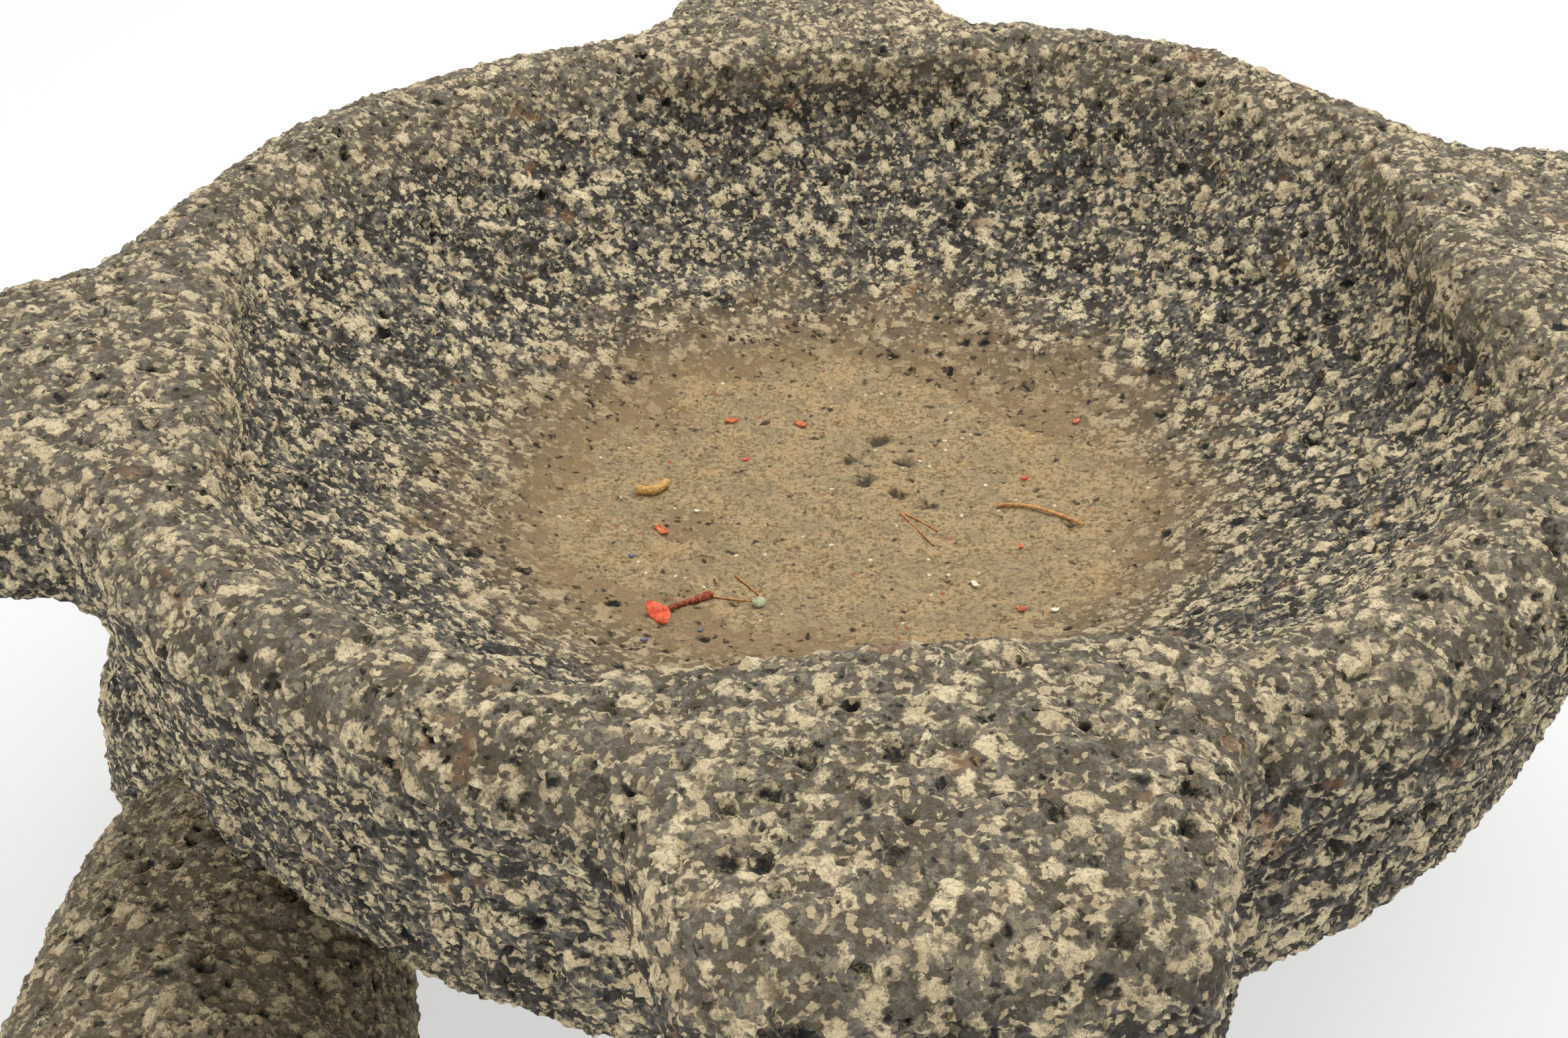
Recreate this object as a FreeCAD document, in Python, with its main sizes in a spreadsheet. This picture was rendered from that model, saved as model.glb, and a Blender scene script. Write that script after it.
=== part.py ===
import FreeCAD, Part
import Sketcher
import math
import os

# A stone mortar on three legs with four lugs round its rim, the paste caked in its bowl, the
# scraps of chilli bedded in the paste, and its stone pestle lying on the table beside it.
# Millimetres. The origin is on the axis of the bowl at table level; +Z is up, -Y is the front.

DRIVING_SIZES = {
    # the bowl, a profile turned about its axis
    "rim_height": 100,
    "outer_radius": 115,
    "rim_round": 9,
    "wall_lean": 5,
    "underside_height": 38,
    "floor_thickness": 17,
    "bowl_flat_radius": 20,
    # the room left between the pestle and the bottom edge of the wall above it
    "edge_gap": 5,
    # the four lugs
    "lug_right_angle": 5,
    "lug_far_angle": 93,
    "lug_left_angle": 194,
    "lug_near_angle": 274,
    "lug_reach": 22,
    "lug_tip_width": 50,
    "lug_root_width": 74,
    "lug_root_depth": 20,
    "lug_thickness": 25,
    "lug_rim_bite": 6,
    "lug_corner_round": 9,
    "lug_edge_round": 4,
    # the three legs: how far each section's centre lies inside the outer radius
    "leg_root_radius": 27,
    "leg_knee_radius": 25,
    "foot_radius": 24,
    "foot_edge_round": 5,
    "leg_knee_height": 26,
    "left_angle": 183,
    "left_root_inset": 28,
    "left_knee_inset": 12,
    "left_foot_inset": 9,
    "right_angle": 290,
    "right_root_inset": 37,
    "right_knee_inset": 35,
    "right_foot_inset": 40,
    "far_angle": 62,
    "far_root_inset": 35,
    "far_knee_inset": 30,
    "far_foot_inset": 29,
    # the pestle, a tapered rod with round ends that lies nearly along Y
    "pestle_length": 124,
    "pestle_hand_radius": 23.5,
    "pestle_grind_radius": 30,
    "pestle_inset": 26,
    "pestle_leg_gap": 6,
    "pestle_turn": 10,
    # the paste on the bottom of the bowl
    "paste_radius": 57,
    "paste_thickness": 1.5,
    # the scraps bedded in the paste
    "scrap_bed": 0.4,
    "skin_length": 4.6,
    "skin_width": 2.8,
    "skin_thickness": 1.2,
    "stem_length": 8.6,
    "stem_radius": 0.8,
    "husk_length": 5.6,
    "husk_width": 2,
    "husk_thickness": 1.2,
    "straw_bend": 14,
    "straw_radius": 0.5,
    "fibre_bend": 9,
    "fibre_radius": 0.35,
    "seed_length": 2.6,
    "seed_width": 1.8,
    "crumb_length": 2,
    "crumb_width": 1.4,
}

doc = FreeCAD.newDocument("molcajete")
sheet = doc.addObject("Spreadsheet::Sheet", "Sizes")
for row, (alias, number) in enumerate(DRIVING_SIZES.items(), start=1):
    sheet.set("A%d" % row, alias)
    sheet.set("B%d" % row, str(number))
    sheet.setAlias("B%d" % row, alias)
doc.recompute()


def size(alias):
    """The value that the sheet holds for one named size."""
    return float(getattr(sheet, alias))


# Expressions that several pieces share. Each has a function of the same meaning below, which
# only gives the sketches a first guess.
RIM_CENTRE_RADIUS = "(Sizes.outer_radius - Sizes.rim_round)"
RIM_CENTRE_HEIGHT = "(Sizes.rim_height - Sizes.rim_round)"
BOTTOM_EDGE_RADIUS = "(Sizes.outer_radius - Sizes.wall_lean)"
BOTTOM_EDGE_HEIGHT = "(2 * Sizes.pestle_hand_radius + Sizes.edge_gap)"
BOWL_FLOOR = "(Sizes.underside_height + Sizes.floor_thickness)"
# A leg ends half way between the bottom edge of the wall and the underside of the lugs.
LUG_UNDERSIDE = "(Sizes.rim_height - Sizes.lug_thickness)"
LEG_ROOT_HEIGHT = "((%s + %s) / 2)" % (BOTTOM_EDGE_HEIGHT, LUG_UNDERSIDE)
# The flank of the bowl is one arc, tangent to its flat floor and to its round rim.
FLANK_RUN = "(%s - Sizes.bowl_flat_radius)" % RIM_CENTRE_RADIUS
FLANK_RISE = "(%s - %s)" % (RIM_CENTRE_HEIGHT, BOWL_FLOOR)
FLANK_RADIUS = "((%s ^ 2 + %s ^ 2 - Sizes.rim_round ^ 2) / (2 * (%s + Sizes.rim_round)))" % (
    FLANK_RUN,
    FLANK_RISE,
    FLANK_RISE,
)


def bowl_floor():
    return size("underside_height") + size("floor_thickness")


def bottom_edge():
    """Radius and height of the bottom edge of the wall."""
    radius = size("outer_radius") - size("wall_lean")
    height = 2 * size("pestle_hand_radius") + size("edge_gap")
    return radius, height


def rim_centre():
    """Radius and height of the centre of the round rim."""
    radius = size("outer_radius") - size("rim_round")
    height = size("rim_height") - size("rim_round")
    return radius, height


def flank_radius():
    run = rim_centre()[0] - size("bowl_flat_radius")
    rise = rim_centre()[1] - bowl_floor()
    rim_round = size("rim_round")
    return (run ** 2 + rise ** 2 - rim_round ** 2) / (2 * (rise + rim_round))


# ---- sketching helpers

START, END, CENTRE = 1, 2, 3
ROOT_POINT = (-1, 1)
ACROSS_AXIS, UP_AXIS = -1, -2


def origin_plane(body, role):
    """The body's own base plane with the given role."""
    for feature in body.Origin.OriginFeatures:
        if feature.Role == role:
            return feature
    raise RuntimeError("no plane " + role)


def new_body(label):
    """An empty body whose label names the piece."""
    body = doc.addObject("PartDesign::Body", label + "_body")
    body.Label = label
    return body


def new_sketch(body, name, role, lift=None):
    """A sketch on one of the body's base planes, raised by an expression if one is given."""
    sketch = body.newObject("Sketcher::SketchObject", name)
    sketch.AttachmentSupport = [(origin_plane(body, role), "")]
    sketch.MapMode = "FlatFace"
    if lift is not None:
        sketch.setExpression("AttachmentOffset.Base.z", lift)
    return sketch


def line(sketch, start, end):
    """A straight edge; its number in the sketch is returned."""
    first = FreeCAD.Vector(start[0], start[1], 0)
    last = FreeCAD.Vector(end[0], end[1], 0)
    return sketch.addGeometry(Part.LineSegment(first, last), False)


def round_edge(sketch, centre, radius, start_angle, end_angle):
    """A counter-clockwise arc, its angles in radians; its number in the sketch is returned."""
    middle = FreeCAD.Vector(centre[0], centre[1], 0)
    circle = Part.Circle(middle, FreeCAD.Vector(0, 0, 1), radius)
    return sketch.addGeometry(Part.ArcOfCircle(circle, start_angle, end_angle), False)


def join(sketch, first, first_end, second, second_end, kind="Coincident"):
    """Makes two ends meet, or meet in one direction when kind is Tangent."""
    sketch.addConstraint(Sketcher.Constraint(kind, first, first_end, second, second_end))


def on_axis(sketch, edge, point, axis):
    sketch.addConstraint(Sketcher.Constraint("PointOnObject", edge, point, axis))


def tie(sketch, kind, edge, point, expression, guess):
    """Sets the distance of a point from the sketch's origin by an expression."""
    constraint = Sketcher.Constraint(kind, *ROOT_POINT, edge, point, guess)
    number = sketch.addConstraint(constraint)
    sketch.setExpression("Constraints[%d]" % number, expression)


def across(sketch, edge, point, expression, guess):
    tie(sketch, "DistanceX", edge, point, expression, guess)


def up(sketch, edge, point, expression, guess):
    tie(sketch, "DistanceY", edge, point, expression, guess)


def set_radius(sketch, edge, expression, guess):
    number = sketch.addConstraint(Sketcher.Constraint("Radius", edge, guess))
    sketch.setExpression("Constraints[%d]" % number, expression)


def turn(body, kind, name, sketch, axis):
    """Turns a profile a full circle, as a Revolution that adds or a Groove that removes."""
    feature = body.newObject("PartDesign::" + kind, name)
    feature.Profile = sketch
    feature.ReferenceAxis = (sketch, [axis])
    feature.Angle = 360
    return feature


# ---- the bowl


def draw_underside_and_wall(sketch):
    """The underside, from the axis to the bottom edge, and the wall up to the rim."""
    edge_radius, edge_height = bottom_edge()
    under = size("underside_height")
    rise = edge_height - under
    sag_radius = (edge_radius ** 2 + rise ** 2) / (2 * rise)
    end_angle = -math.pi / 2 + math.asin(edge_radius / sag_radius)
    underside = round_edge(sketch, (0, under + sag_radius), sag_radius, -math.pi / 2, end_angle)
    rim_start = (size("outer_radius"), rim_centre()[1])
    wall = line(sketch, (edge_radius, edge_height), rim_start)
    on_axis(sketch, underside, CENTRE, UP_AXIS)
    on_axis(sketch, underside, START, UP_AXIS)
    up(sketch, underside, START, "Sizes.underside_height", under)
    join(sketch, underside, END, wall, START)
    across(sketch, wall, START, BOTTOM_EDGE_RADIUS, edge_radius)
    up(sketch, wall, START, BOTTOM_EDGE_HEIGHT, edge_height)
    return underside, wall


def draw_rim(sketch, wall, end_angle):
    """The round rim, from the top of the wall over the crest."""
    rim = round_edge(sketch, rim_centre(), size("rim_round"), 0, end_angle)
    across(sketch, rim, CENTRE, RIM_CENTRE_RADIUS, rim_centre()[0])
    up(sketch, rim, CENTRE, RIM_CENTRE_HEIGHT, rim_centre()[1])
    set_radius(sketch, rim, "Sizes.rim_round", size("rim_round"))
    join(sketch, wall, END, rim, START)
    up(sketch, rim, START, RIM_CENTRE_HEIGHT, rim_centre()[1])
    return rim


def make_basin():
    body = new_body("basin")
    sketch = new_sketch(body, "basin_profile", "XZ_Plane")
    underside, wall = draw_underside_and_wall(sketch)
    floor = bowl_floor()
    flat_radius = size("bowl_flat_radius")
    flank_centre = (flat_radius, floor + flank_radius())
    over = math.atan2(flank_centre[1] - rim_centre()[1], flank_centre[0] - rim_centre()[0])
    rim = draw_rim(sketch, wall, over)
    flank = round_edge(sketch, flank_centre, flank_radius(), -math.pi / 2, over - math.pi)
    flat = line(sketch, (flat_radius, floor), (0, floor))
    middle = line(sketch, (0, floor), (0, size("underside_height")))
    join(sketch, rim, END, flank, END, "Tangent")
    sketch.addConstraint(Sketcher.Constraint("Tangent", flank, START, flat, START))
    across(sketch, flat, START, "Sizes.bowl_flat_radius", flat_radius)
    up(sketch, flat, START, BOWL_FLOOR, floor)
    sketch.addConstraint(Sketcher.Constraint("Horizontal", flat))
    on_axis(sketch, flat, END, UP_AXIS)
    join(sketch, flat, END, middle, START)
    join(sketch, middle, END, underside, START)
    turn(body, "Revolution", "basin_turned", sketch, "V_Axis")
    return body


def cut_basin_away(body, label):
    """Takes the bowl's own space out of a lug or leg, so that it meets the bowl face to face."""
    sketch = new_sketch(body, label + "_seat", "XZ_Plane")
    underside, wall = draw_underside_and_wall(sketch)
    bite_radius = size("outer_radius") - size("lug_rim_bite")
    crest_angle = math.acos((bite_radius - rim_centre()[0]) / size("rim_round"))
    rim = draw_rim(sketch, wall, crest_angle)
    crest_height = rim_centre()[1] + size("rim_round") * math.sin(crest_angle)
    top = 2 * size("rim_height")
    step = line(sketch, (bite_radius, crest_height), (bite_radius, top))
    lid = line(sketch, (bite_radius, top), (0, top))
    middle = line(sketch, (0, top), (0, size("underside_height")))
    join(sketch, rim, END, step, START)
    across(sketch, step, START, "Sizes.outer_radius - Sizes.lug_rim_bite", bite_radius)
    sketch.addConstraint(Sketcher.Constraint("Vertical", step))
    up(sketch, step, END, "2 * Sizes.rim_height", top)
    join(sketch, step, END, lid, START)
    sketch.addConstraint(Sketcher.Constraint("Horizontal", lid))
    on_axis(sketch, lid, END, UP_AXIS)
    join(sketch, lid, END, middle, START)
    join(sketch, middle, END, underside, START)
    doc.recompute()
    before = body.Shape.Volume
    turn(body, "Groove", label + "_seat_cut", sketch, "V_Axis")
    doc.recompute()
    if not 0 < body.Shape.Volume < 0.999 * before:
        raise RuntimeError(label + " was not cut to fit the bowl")


def edges_where(shape, wanted):
    """The names of a shape's edges for which wanted(edge) is true."""
    return ["Edge%d" % (n + 1) for n, edge in enumerate(shape.Edges) if wanted(edge)]


def round_over(body, name, base, edges, alias):
    """Rounds the named edges of the base feature by a size from the sheet."""
    fillet = body.newObject("PartDesign::Fillet", name)
    fillet.Base = (base, edges)
    fillet.setExpression("Radius", "Sizes." + alias)
    doc.recompute()
    return fillet


# ---- the lugs


def make_lug(label):
    body = new_body(label)
    sketch = new_sketch(body, label + "_plan", "XY_Plane", LUG_UNDERSIDE)
    root = size("outer_radius") - size("lug_root_depth")
    tip = size("outer_radius") + size("lug_reach")
    half_root = size("lug_root_width") / 2
    half_tip = size("lug_tip_width") / 2
    corners = [(root, -half_root), (tip, -half_tip), (tip, half_tip), (root, half_root)]
    sides = [line(sketch, corners[n], corners[(n + 1) % 4]) for n in range(4)]
    for n in range(4):
        join(sketch, sides[n], END, sides[(n + 1) % 4], START)
    at_root = "Sizes.outer_radius - Sizes.lug_root_depth"
    at_tip = "Sizes.outer_radius + Sizes.lug_reach"
    places = [
        (at_root, "-Sizes.lug_root_width / 2"),
        (at_tip, "-Sizes.lug_tip_width / 2"),
        (at_tip, "Sizes.lug_tip_width / 2"),
        (at_root, "Sizes.lug_root_width / 2"),
    ]
    for side, corner, (along, sideways) in zip(sides, corners, places):
        across(sketch, side, START, along, corner[0])
        up(sketch, side, START, sideways, corner[1])
    pad = body.newObject("PartDesign::Pad", label + "_pad")
    pad.Profile = sketch
    pad.setExpression("Length", "Sizes.lug_thickness")
    doc.recompute()

    def upright_at_tip(edge):
        box = edge.BoundBox
        return box.ZLength > size("lug_thickness") / 2 and box.XMin > size("outer_radius")

    upright = edges_where(pad.Shape, upright_at_tip)
    tip_round = round_over(body, label + "_tip_round", pad, upright, "lug_corner_round")

    def level_past_root(edge):
        box = edge.BoundBox
        return box.ZLength < 0.01 and box.XMax > size("outer_radius") - size("lug_root_depth") + 1

    level = edges_where(tip_round.Shape, level_past_root)
    round_over(body, label + "_edge_round", tip_round, level, "lug_edge_round")
    cut_basin_away(body, label)
    body.setExpression(
        "Placement",
        "create(<<placement>>; create(<<vector>>; 0; 0; 0);"
        " create(<<rotation>>; Sizes.%s_angle; 0; 0))" % label,
    )
    return body


# ---- the legs


def make_leg(label, side):
    """A leg that goes up from its sole, past its foot and knee, to its root in the bowl."""
    body = new_body(label)
    # name of the level, its height, its radius and the inset of its centre
    levels = [
        ("sole", "0", "Sizes.foot_radius - Sizes.foot_edge_round", "foot"),
        ("foot", "Sizes.foot_edge_round", "Sizes.foot_radius", "foot"),
        ("knee", "Sizes.leg_knee_height", "Sizes.leg_knee_radius", "knee"),
        ("root", LEG_ROOT_HEIGHT, "Sizes.leg_root_radius", "root"),
    ]
    sections = []
    for level, height, radius, inset_level in levels:
        sketch = new_sketch(body, "%s_%s" % (label, level), "XY_Plane", height)
        inset = "%s_%s_inset" % (side, inset_level)
        reach = size("outer_radius") - size(inset)
        middle = FreeCAD.Vector(reach, 0, 0)
        circle = Part.Circle(middle, FreeCAD.Vector(0, 0, 1), size("foot_radius"))
        ring = sketch.addGeometry(circle, False)
        on_axis(sketch, ring, CENTRE, ACROSS_AXIS)
        across(sketch, ring, CENTRE, "Sizes.outer_radius - Sizes." + inset, reach)
        set_radius(sketch, ring, radius, size("foot_radius"))
        sections.append(sketch)
    loft = body.newObject("PartDesign::AdditiveLoft", label + "_loft")
    loft.Profile = sections[0]
    loft.Sections = sections[1:]
    loft.Ruled = True
    doc.recompute()
    cut_basin_away(body, label)
    body.setExpression(
        "Placement",
        "create(<<placement>>; create(<<vector>>; 0; 0; 0);"
        " create(<<rotation>>; Sizes.%s_angle; 0; 0))" % side,
    )
    return body


# ---- the pestle


def make_pestle():
    """A rod that tapers from the grinding end to the hand end, lying flat along its side."""
    body = new_body("tejolote")
    sketch = new_sketch(body, "tejolote_profile", "XY_Plane")
    length = size("pestle_length")
    hand = size("pestle_hand_radius")
    grind = size("pestle_grind_radius")
    taper = math.asin((grind - hand) / (length - grind - hand))
    tangent_angle = math.pi / 2 + taper
    normal = (math.cos(tangent_angle), math.sin(tangent_angle))
    hand_end = round_edge(sketch, (hand, 0), hand, tangent_angle, math.pi)
    grind_end = round_edge(sketch, (length - grind, 0), grind, 0, tangent_angle)
    flank_start = (length - grind + grind * normal[0], grind * normal[1])
    flank = line(sketch, flank_start, (hand + hand * normal[0], hand * normal[1]))
    middle = line(sketch, (0, 0), (length, 0))
    on_axis(sketch, hand_end, CENTRE, ACROSS_AXIS)
    on_axis(sketch, grind_end, CENTRE, ACROSS_AXIS)
    set_radius(sketch, hand_end, "Sizes.pestle_hand_radius", hand)
    set_radius(sketch, grind_end, "Sizes.pestle_grind_radius", grind)
    join(sketch, grind_end, END, flank, START, "Tangent")
    join(sketch, flank, END, hand_end, START, "Tangent")
    join(sketch, hand_end, END, middle, START)
    join(sketch, middle, END, grind_end, START)
    join(sketch, middle, START, *ROOT_POINT)
    on_axis(sketch, middle, END, ACROSS_AXIS)
    across(sketch, middle, END, "Sizes.pestle_length", length)
    turn(body, "Revolution", "tejolote_turned", sketch, "H_Axis")
    # It lies on its flank, so its axis climbs by the taper. Its hand end stops short of the left
    # leg, and from there it turns a little inwards.
    climb = (
        "asin((Sizes.pestle_grind_radius - Sizes.pestle_hand_radius)"
        " / (Sizes.pestle_length - Sizes.pestle_grind_radius - Sizes.pestle_hand_radius))"
    )
    leg_front = (
        "((Sizes.outer_radius - Sizes.left_knee_inset) * sin(Sizes.left_angle)"
        " - Sizes.leg_knee_radius)"
    )
    hand_centre = "(%s - Sizes.pestle_leg_gap - Sizes.pestle_hand_radius)" % leg_front
    body.setExpression(
        "Placement",
        "create(<<placement>>; create(<<vector>>; Sizes.pestle_inset - Sizes.outer_radius"
        " - Sizes.pestle_hand_radius * cos({climb}) * sin(Sizes.pestle_turn);"
        " {centre} + Sizes.pestle_hand_radius * cos({climb}) * cos(Sizes.pestle_turn);"
        " Sizes.pestle_hand_radius * (1 - sin({climb})));"
        " create(<<rotation>>; Sizes.pestle_turn - 90; -{climb}; 0))".format(
            centre=hand_centre, climb=climb
        ),
    )
    return body


# ---- the paste and the scraps in it


def make_paste():
    """A lining of even thickness on the bowl's floor, cut off square at its edge."""
    body = new_body("residue")
    sketch = new_sketch(body, "residue_profile", "XZ_Plane")
    floor = bowl_floor()
    flat_radius = size("bowl_flat_radius")
    edge_radius = size("paste_radius")
    thickness = size("paste_thickness")
    centre = (flat_radius, floor + flank_radius())
    lower_angle = -math.acos((edge_radius - flat_radius) / flank_radius())
    upper_radius = flank_radius() - thickness
    upper_angle = -math.acos((edge_radius - flat_radius) / upper_radius)
    lower = round_edge(sketch, centre, flank_radius(), -math.pi / 2, lower_angle)
    upper = round_edge(sketch, centre, upper_radius, -math.pi / 2, upper_angle)
    lower_end = (edge_radius, centre[1] + flank_radius() * math.sin(lower_angle))
    upper_end = (edge_radius, centre[1] + upper_radius * math.sin(upper_angle))
    edge = line(sketch, lower_end, upper_end)
    top = line(sketch, (flat_radius, floor + thickness), (0, floor + thickness))
    middle = line(sketch, (0, floor + thickness), (0, floor))
    bottom = line(sketch, (0, floor), (flat_radius, floor))
    for flank, radius in ((lower, FLANK_RADIUS), (upper, FLANK_RADIUS + " - Sizes.paste_thickness")):
        across(sketch, flank, CENTRE, "Sizes.bowl_flat_radius", flat_radius)
        up(sketch, flank, CENTRE, BOWL_FLOOR + " + " + FLANK_RADIUS, centre[1])
        across(sketch, flank, START, "Sizes.bowl_flat_radius", flat_radius)
        set_radius(sketch, flank, radius, flank_radius())
    join(sketch, lower, END, edge, START)
    across(sketch, edge, START, "Sizes.paste_radius", edge_radius)
    join(sketch, edge, END, upper, END)
    sketch.addConstraint(Sketcher.Constraint("Vertical", edge))
    join(sketch, upper, START, top, START)
    sketch.addConstraint(Sketcher.Constraint("Horizontal", top))
    on_axis(sketch, top, END, UP_AXIS)
    join(sketch, top, END, middle, START)
    join(sketch, middle, END, bottom, START)
    on_axis(sketch, bottom, START, UP_AXIS)
    join(sketch, bottom, END, lower, START)
    turn(body, "Revolution", "residue_turned", sketch, "V_Axis")
    return body


def on_paste(inset, angle, lift, yaw, pitch=0):
    """A placement on the paste, so far in from its edge and at an angle round the bowl's axis.

    The piece is first turned by yaw and pitch, raised by lift and then laid on the slope.
    """
    run = "(Sizes.paste_radius - %g - Sizes.bowl_flat_radius)" % inset
    slope = "(%s > 0 ? asin(%s / %s) : 0)" % (run, run, FLANK_RADIUS)
    upper = "(%s - Sizes.paste_thickness)" % FLANK_RADIUS
    radius = "(Sizes.paste_radius - %g - Sizes.paste_thickness * sin(%s))" % (inset, slope)
    height = "(%s + Sizes.paste_thickness + %s * (1 - cos(%s)))" % (BOWL_FLOOR, upper, slope)
    return (
        "create(<<placement>>; create(<<vector>>; {r} * cos({a}); {r} * sin({a}); {h});"
        " create(<<rotation>>; {a}; -{s}; 0)) * create(<<placement>>;"
        " create(<<vector>>; 0; 0; {l}); create(<<rotation>>; {y}; {p}; 0))"
    ).format(r=radius, a=angle, h=height, s=slope, l=lift, y=yaw, p=pitch)


def flake(label, length, width, thickness, inset, angle, yaw):
    """A flat oval scrap bedded a little way into the paste."""
    piece = doc.addObject("Part::Ellipsoid", label)
    piece.setExpression("Radius1", thickness + " / 2")
    piece.setExpression("Radius2", length + " / 2")
    piece.setExpression("Radius3", width + " / 2")
    lift = "%s / 2 - Sizes.scrap_bed" % thickness
    piece.setExpression("Placement", on_paste(inset, angle, lift, yaw))
    return piece


def stalk(label, inset, angle, yaw):
    """A straight stalk that lies on its side, thinner at one end."""
    piece = doc.addObject("Part::Cone", label)
    piece.setExpression("Height", "Sizes.stem_length")
    piece.setExpression("Radius1", "Sizes.stem_radius")
    piece.setExpression("Radius2", "0.6 * Sizes.stem_radius")
    lift = "0.6 * Sizes.stem_radius - Sizes.scrap_bed"
    piece.setExpression("Placement", on_paste(inset, angle, lift, yaw, 90))
    return piece


def bent_fibre(label, bend, thickness, sweep, inset, angle, yaw):
    """A fibre bent along an arc, lying on the paste. The place is that of the arc's centre."""
    piece = doc.addObject("Part::Torus", label)
    piece.setExpression("Radius1", bend)
    piece.setExpression("Radius2", thickness)
    piece.Angle3 = sweep
    lift = "%s - Sizes.scrap_bed" % thickness
    piece.setExpression("Placement", on_paste(inset, angle, lift, yaw))
    return piece


def group(label, members):
    """Several loose scraps kept as one piece with one name."""
    bundle = doc.addObject("Part::Compound", label)
    bundle.Links = members
    return bundle


def make_scraps():
    """Each scrap's last three numbers: how far in from the paste's edge, its angle, its turn."""
    skin = flake(
        "chilli_skin", "Sizes.skin_length", "Sizes.skin_width", "Sizes.skin_thickness", 12, -127, 140
    )
    husk = flake(
        "husk_curl", "Sizes.husk_length", "Sizes.husk_width", "Sizes.husk_thickness", 26, 175, -140
    )
    seed = flake(
        "pale_seed", "Sizes.seed_length", "Sizes.seed_width", "Sizes.seed_width", 25, -113, 100
    )
    stem = stalk("chilli_stem", 14, -128, 175)
    straw = bent_fibre("straw", "Sizes.straw_bend", "Sizes.straw_radius", 60, 26, -35, 66)
    # the sweep of each arc comes first
    fibre_arcs = [(46, 32, -128, 7), (54, 22, -126, 130), (66, 43, -66, 61)]
    fibres = [
        bent_fibre("fibre_%d" % (n + 1), "Sizes.fibre_bend", "Sizes.fibre_radius", *arc)
        for n, arc in enumerate(fibre_arcs)
    ]
    crumb_places = [
        (27, 129, 20),
        (33, 107, 70),
        (12, 25, 40),
        (27, -161, 0),
        (14, -52, 30),
        (37, 144, 60),
        (25, -29, 10),
        (27, 7, 80),
        (25, -51, 50),
        (11, -47, 15),
    ]
    crumb_sizes = ("Sizes.crumb_length", "Sizes.crumb_width", "Sizes.crumb_width")
    crumbs = [
        flake("crumb_%d" % (n + 1), *crumb_sizes, *place) for n, place in enumerate(crumb_places)
    ]
    return [skin, husk, seed, stem, straw, group("fine_fibres", fibres), group("crumbs", crumbs)]


LUGS = ("lug_right", "lug_far", "lug_left", "lug_near")
LEG_SIDES = {"leg_left": "left", "leg_right": "right", "leg_far": "far"}

pieces = [make_basin()]
pieces += [make_lug(label) for label in LUGS]
pieces += [make_leg(label, side) for label, side in LEG_SIDES.items()]
pieces.append(make_pestle())
pieces.append(make_paste())
pieces += make_scraps()
doc.recompute()

for thing in doc.Objects:
    if "Invalid" in thing.State or "Error" in thing.State:
        raise RuntimeError("%s failed: %s" % (thing.Label, thing.State))
for piece in pieces:
    if piece.Shape.isNull() or not piece.Shape.isValid():
        raise RuntimeError(piece.Label + " has no valid shape")

os.makedirs("parts", exist_ok=True)
for piece in pieces:
    piece.Shape.exportStep(os.path.join("parts", piece.Label + ".step"))
    box = piece.Shape.BoundBox
    print(
        "%-14s %d solid(s) %10.1f mm3  x %.1f..%.1f  y %.1f..%.1f  z %.1f..%.1f"
        % (
            piece.Label,
            len(piece.Shape.Solids),
            piece.Shape.Volume,
            box.XMin,
            box.XMax,
            box.YMin,
            box.YMax,
            box.ZMin,
            box.ZMax,
        )
    )
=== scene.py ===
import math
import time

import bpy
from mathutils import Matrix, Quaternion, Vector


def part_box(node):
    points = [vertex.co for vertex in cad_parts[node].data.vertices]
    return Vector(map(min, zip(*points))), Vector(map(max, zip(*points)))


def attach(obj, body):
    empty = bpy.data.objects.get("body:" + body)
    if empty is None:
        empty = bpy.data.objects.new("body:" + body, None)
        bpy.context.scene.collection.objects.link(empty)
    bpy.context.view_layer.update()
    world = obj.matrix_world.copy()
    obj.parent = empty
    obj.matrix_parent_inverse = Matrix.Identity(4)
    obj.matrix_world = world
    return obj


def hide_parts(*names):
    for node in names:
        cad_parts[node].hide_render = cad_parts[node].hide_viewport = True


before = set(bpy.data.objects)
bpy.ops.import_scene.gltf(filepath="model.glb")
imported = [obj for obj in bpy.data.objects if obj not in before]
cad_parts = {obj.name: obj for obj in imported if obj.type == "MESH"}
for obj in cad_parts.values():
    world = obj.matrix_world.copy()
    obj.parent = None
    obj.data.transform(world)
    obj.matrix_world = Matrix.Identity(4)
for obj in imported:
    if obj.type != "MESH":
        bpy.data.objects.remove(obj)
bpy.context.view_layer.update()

# %% [markdown]
# A molcajete is a stone mortar cut from one block of basalt: a wide shallow bowl, square lugs to
# hold it by, and three stout legs. Its pestle, the tejolote, is a second stone. Everything here is
# placed from the boxes of the frame's pieces, so this first step reads those and keeps the few
# sizes that the boxes don't give.

MM = 0.001
# the sharpest bends that are still shaded smooth
STONE_EDGE = math.radians(70)
SCRAP_EDGE = math.radians(60)
started = time.time()

basin_low, basin_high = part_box("basin")
paste_low, paste_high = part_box("residue")
OUTER = basin_high.x
RIM_TOP = basin_high.z
UNDERSIDE = basin_low.z
FLOOR_OF_BOWL = paste_low.z
RIM_ROUND = 9 * MM
FLAT_RADIUS = 20 * MM
EDGE_HEIGHT = 52 * MM
WALL_LEAN = 5 * MM
print("outer radius", round(OUTER, 4), "rim", round(RIM_TOP, 4), "floor", round(FLOOR_OF_BOWL, 4))

# %% [markdown]
# The camera comes first, because it decides how fine each surface must be. It stands low over the
# front lug and looks down into the bowl, so close that the lugs leave the picture. It is aimed at
# the middle of the rim, then turned a little left and down, and rolled by less than a degree.

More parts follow.
